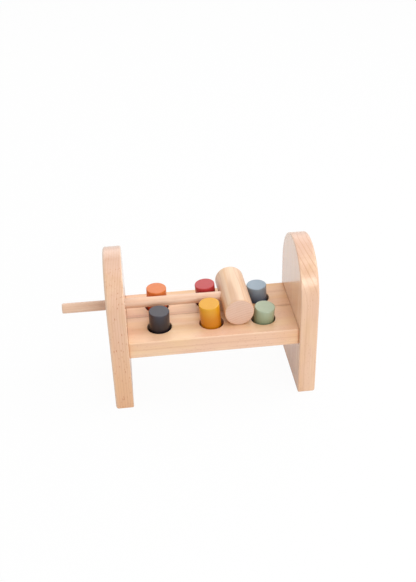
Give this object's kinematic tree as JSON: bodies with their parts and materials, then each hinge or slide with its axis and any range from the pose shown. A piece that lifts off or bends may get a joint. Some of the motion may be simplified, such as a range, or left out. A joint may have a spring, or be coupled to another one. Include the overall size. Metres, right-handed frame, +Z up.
{
  "type": "peg pounding bench",
  "caption": "Wooden pounding toy: painted round pegs held in a drilled board between arched end panels, with a mallet stored through one panel.",
  "frame": {"origin": "on the floor, in the middle of the footprint of the two end panels", "axes": "+X along the bench to the right, away from the panel that stores the mallet; +Y to the back; +Z up"},
  "size_m": [0.305, 0.12, 0.1885],
  "materials": {
    "panel_beech": "oiled satin beech, grain upright",
    "board_beech": "oiled satin beech, grain along the bench",
    "mallet_beech": "oiled satin beech, grain along each stick",
    "dowel_beech": "plain unfinished beech",
    "paint_orange": "matte orange paint on wood",
    "paint_red": "matte red paint on wood",
    "paint_blue": "matte blue paint on wood",
    "paint_charcoal": "matte charcoal paint on wood",
    "paint_mustard": "matte mustard paint on wood",
    "paint_sage": "matte sage paint on wood",
    "ring_rubber": "matte black rubber"
  },
  "bodies": {
    "bench": {"left_end_panel": "panel_beech", "right_end_panel": "panel_beech", "front_stave": "board_beech", "rear_stave": "board_beech", "grip_ring_orange": "ring_rubber", "grip_ring_red": "ring_rubber", "grip_ring_blue": "ring_rubber", "grip_ring_charcoal": "ring_rubber", "grip_ring_mustard": "ring_rubber", "grip_ring_sage": "ring_rubber", "dowel_left_1": "dowel_beech", "dowel_left_2": "dowel_beech", "dowel_left_3": "dowel_beech", "dowel_left_4": "dowel_beech", "dowel_right_1": "dowel_beech", "dowel_right_2": "dowel_beech", "dowel_right_3": "dowel_beech", "dowel_right_4": "dowel_beech"},
    "orange_peg": {"peg_orange": "paint_orange"},
    "red_peg": {"peg_red": "paint_red"},
    "blue_peg": {"peg_blue": "paint_blue"},
    "charcoal_peg": {"peg_charcoal": "paint_charcoal"},
    "mustard_peg": {"peg_mustard": "paint_mustard"},
    "sage_peg": {"peg_sage": "paint_sage"},
    "mallet": {"mallet_head": "mallet_beech", "mallet_handle": "mallet_beech"}
  },
  "joints": [
    {"name": "orange_peg_slide", "type": "slide", "parent": "bench", "child": "orange_peg", "axis": [0.0087, 0, 1], "range_m": [-0.0265, 0.0155]},
    {"name": "red_peg_slide", "type": "slide", "parent": "bench", "child": "red_peg", "axis": [-0.0785, 0, 0.9969], "range_m": [-0.027, 0.015]},
    {"name": "blue_peg_slide", "type": "slide", "parent": "bench", "child": "blue_peg", "axis": [-0.0262, 0.0175, 0.9995], "range_m": [-0.019, 0.023]},
    {"name": "charcoal_peg_slide", "type": "slide", "parent": "bench", "child": "charcoal_peg", "axis": [0.0175, -0.0175, 0.9997], "range_m": [-0.0235, 0.0185]},
    {"name": "mustard_peg_slide", "type": "slide", "parent": "bench", "child": "mustard_peg", "axis": [-0.0697, -0.0523, 0.9962], "range_m": [-0.0295, 0.0125]},
    {"name": "sage_peg_slide", "type": "slide", "parent": "bench", "child": "sage_peg", "axis": [0.061, -0.0523, 0.9968], "range_m": [-0.018, 0.024]},
    {"name": "mallet_lift", "type": "hinge", "parent": "bench", "child": "mallet", "pos_m": [-0.125, 0.00034, 0.108], "axis": [0.0297, -0.9996, 0], "range_deg": [0, 30]}
  ]
}
